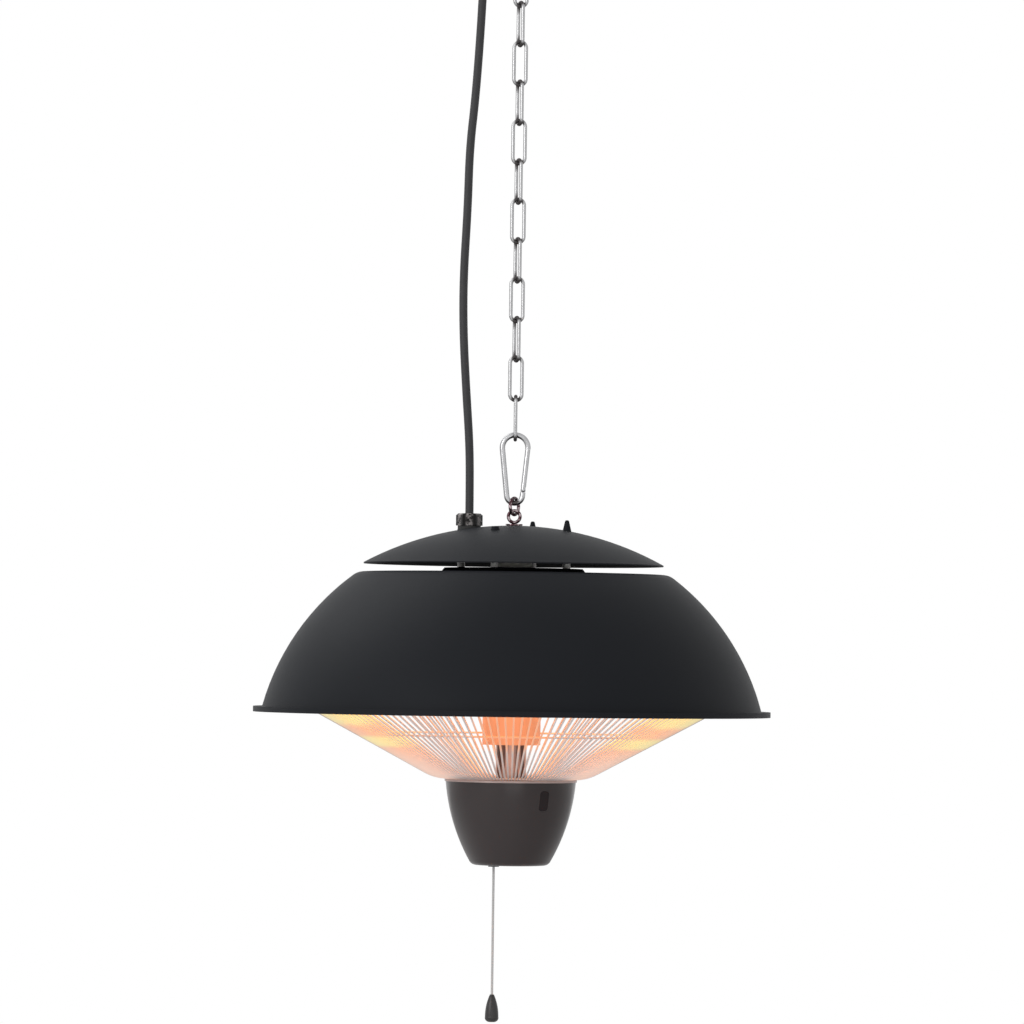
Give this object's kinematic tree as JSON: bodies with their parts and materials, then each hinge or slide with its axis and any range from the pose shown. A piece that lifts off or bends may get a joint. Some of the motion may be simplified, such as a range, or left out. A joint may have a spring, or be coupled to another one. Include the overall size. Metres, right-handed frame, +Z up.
{
  "type": "hanging patio heater",
  "caption": "Hanging patio heater: a domed metal shade with a rain lid, ring lamps and a wire grille over a bowl with a pull cord, hung on a chain from a ceiling hook.",
  "frame": {"origin": "middle of the ceiling plate's upper face, on the chain's axis", "axes": "+Z up, +X to the right as one faces the bowl's indicator window side, -Y towards that viewer"},
  "size_m": [0.4249, 0.425, 0.9804],
  "materials": {
    "bright_steel": "bright plated steel",
    "ceiling_steel": "zinc plated steel",
    "black_shade": "satin powder coat",
    "black_fastener": "blackened steel",
    "plain_steel": "plain steel",
    "gland_plastic": "moulded nylon",
    "seal_rubber": "soft rubber",
    "lead_rubber": "rubber sheath",
    "plug_plastic": "moulded plastic",
    "pin_brass": "plated brass",
    "reflector_metal": "polished aluminium",
    "column_steel": "steel lit by the lamps",
    "lamp_glass": "quartz tube",
    "ceramic": "glazed ceramic",
    "bowl_plastic": "dark plastic with a slight gloss",
    "bowl_metal": "light metal",
    "lens_plastic": "smoked lens",
    "switch_plastic": "moulded plastic",
    "spring_steel": "spring wire",
    "cord_fabric": "braided cord",
    "knob_plastic": "moulded plastic"
  },
  "bodies": {
    "mounting": {"ceiling_plate": "ceiling_steel", "ceiling_hook": "ceiling_steel", "lead_tie": "seal_rubber", "mains_coil": "lead_rubber", "mains_tail": "lead_rubber", "mains_plug": "plug_plastic", "plug_pins": "pin_brass", "mains_lead": "lead_rubber"},
    "link_01": {"chain_link_01": "bright_steel"},
    "link_02": {"chain_link_02": "bright_steel"},
    "link_03": {"chain_link_03": "bright_steel"},
    "link_04": {"chain_link_04": "bright_steel"},
    "link_05": {"chain_link_05": "bright_steel"},
    "link_06": {"chain_link_06": "bright_steel"},
    "link_07": {"chain_link_07": "bright_steel"},
    "link_08": {"chain_link_08": "bright_steel"},
    "link_09": {"chain_link_09": "bright_steel"},
    "link_10": {"chain_link_10": "bright_steel"},
    "link_11": {"chain_link_11": "bright_steel"},
    "link_12": {"chain_link_12": "bright_steel"},
    "link_13": {"chain_link_13": "bright_steel"},
    "carabiner": {"carabiner_body": "bright_steel", "carabiner_pin": "bright_steel"},
    "gate": {"carabiner_gate": "bright_steel"},
    "ring": {"link_ring": "bright_steel"},
    "head": {"eye_bolt": "bright_steel", "eye_nuts": "plain_steel", "lid": "black_shade", "lid_cap_nuts": "black_fastener", "stud_spacers": "plain_steel", "studs": "plain_steel", "stud_nuts": "plain_steel", "shade": "black_shade", "terminal_block": "ceramic", "gland_body": "gland_plastic", "gland_nut": "gland_plastic", "gland_seals": "seal_rubber", "gland_locknut": "gland_plastic", "reflector": "reflector_metal", "lamp_outer": "lamp_glass", "lamp_inner": "lamp_glass", "lamp_end_caps": "ceramic", "lamp_clips": "plain_steel", "column_tube": "column_steel", "stem_tube": "plain_steel", "stem_nut": "plain_steel", "grille": "bright_steel", "grille_clips": "plain_steel", "bowl_plate": "bowl_metal", "bowl_shell": "bowl_plastic", "bowl_screws": "plain_steel", "indicator_lens": "lens_plastic", "switch_case": "switch_plastic", "switch_spring": "spring_steel", "cord_bush": "knob_plastic"},
    "slider": {"switch_slider": "switch_plastic", "pull_cord_top": "cord_fabric"},
    "ratchet": {"switch_cam": "switch_plastic"},
    "pull": {"pull_cord": "cord_fabric", "pull_knob": "knob_plastic"}
  },
  "joints": [
    {"name": "link_swing_01", "type": "hinge", "parent": "mounting", "child": "link_01", "pos_m": [0, 0, -0.08105], "axis": [1, 0, 0], "range_deg": [-12, 12], "deforming": ["mains_lead"]},
    {"name": "link_swing_02", "type": "hinge", "parent": "link_01", "child": "link_02", "pos_m": [0, 0, -0.1123], "axis": [0, 1, 0], "range_deg": [-12, 12]},
    {"name": "link_swing_03", "type": "hinge", "parent": "link_02", "child": "link_03", "pos_m": [0, 0, -0.1448], "axis": [-0.9903, -0.1392, 0], "range_deg": [-12, 12]},
    {"name": "link_swing_04", "type": "hinge", "parent": "link_03", "child": "link_04", "pos_m": [0, 0, -0.1773], "axis": [0.3746, -0.9272, 0], "range_deg": [-12, 12]},
    {"name": "link_swing_05", "type": "hinge", "parent": "link_04", "child": "link_05", "pos_m": [0, 0, -0.2098], "axis": [0.9903, 0.1392, 0], "range_deg": [-12, 12]},
    {"name": "link_swing_06", "type": "hinge", "parent": "link_05", "child": "link_06", "pos_m": [0, 0, -0.2423], "axis": [-0.3746, 0.9272, 0], "range_deg": [-12, 12]},
    {"name": "link_swing_07", "type": "hinge", "parent": "link_06", "child": "link_07", "pos_m": [0, 0, -0.2748], "axis": [-0.9903, -0.1392, 0], "range_deg": [-12, 12]},
    {"name": "link_swing_08", "type": "hinge", "parent": "link_07", "child": "link_08", "pos_m": [0, 0, -0.3073], "axis": [0.3746, -0.9272, 0], "range_deg": [-12, 12]},
    {"name": "link_swing_09", "type": "hinge", "parent": "link_08", "child": "link_09", "pos_m": [0, 0, -0.3398], "axis": [0.9903, 0.1392, 0], "range_deg": [-12, 12]},
    {"name": "link_swing_10", "type": "hinge", "parent": "link_09", "child": "link_10", "pos_m": [0, 0, -0.3723], "axis": [-0.3746, 0.9272, 0], "range_deg": [-12, 12]},
    {"name": "link_swing_11", "type": "hinge", "parent": "link_10", "child": "link_11", "pos_m": [0, 0, -0.4048], "axis": [-0.9903, -0.1392, 0], "range_deg": [-12, 12]},
    {"name": "link_swing_12", "type": "hinge", "parent": "link_11", "child": "link_12", "pos_m": [0, 0, -0.4373], "axis": [0.3746, -0.9272, 0], "range_deg": [-12, 12]},
    {"name": "link_swing_13", "type": "hinge", "parent": "link_12", "child": "link_13", "pos_m": [0, 0, -0.4698], "axis": [0.9903, 0.1392, 0], "range_deg": [-12, 12]},
    {"name": "carabiner_swing", "type": "hinge", "parent": "link_13", "child": "carabiner", "pos_m": [0, 0, -0.5023], "axis": [0, 1, 0], "range_deg": [-15, 15]},
    {"name": "gate_open", "type": "hinge", "parent": "carabiner", "child": "gate", "pos_m": [0.00698, 0, -0.54354], "axis": [0, -1, 0], "range_deg": [0, 22], "stiffness_Nm_per_rad": 0.05, "springref_deg": -17.19},
    {"name": "ring_swing", "type": "hinge", "parent": "carabiner", "child": "ring", "pos_m": [0, 0, -0.55435], "axis": [-1, 0, 0], "range_deg": [-12, 12]},
    {"name": "head_swing", "type": "hinge", "parent": "ring", "child": "head", "pos_m": [0, 0, -0.5639], "axis": [0.5, 0.866, 0], "range_deg": [-12, 12]},
    {"name": "switch_pull", "type": "slide", "parent": "head", "child": "slider", "axis": [0, 0, -1], "range_m": [0, 0.012], "stiffness_N_per_m": 400, "springref_m": -0.006, "deforming": ["switch_spring"]},
    {"name": "ratchet_turn", "type": "hinge", "parent": "head", "child": "ratchet", "pos_m": [-0.0044, 0, -0.83182], "axis": [0, -1, 0], "range_deg": [0, 46]},
    {"name": "cord_swing", "type": "hinge", "parent": "slider", "child": "pull", "pos_m": [-0.0132, 0, -0.85352], "axis": [0, 1, 0], "range_deg": [-20, 20]}
  ],
  "couplings": [
    {"joint": "ratchet_turn", "follows": "switch_pull", "rad_per_m": 65.45}
  ]
}
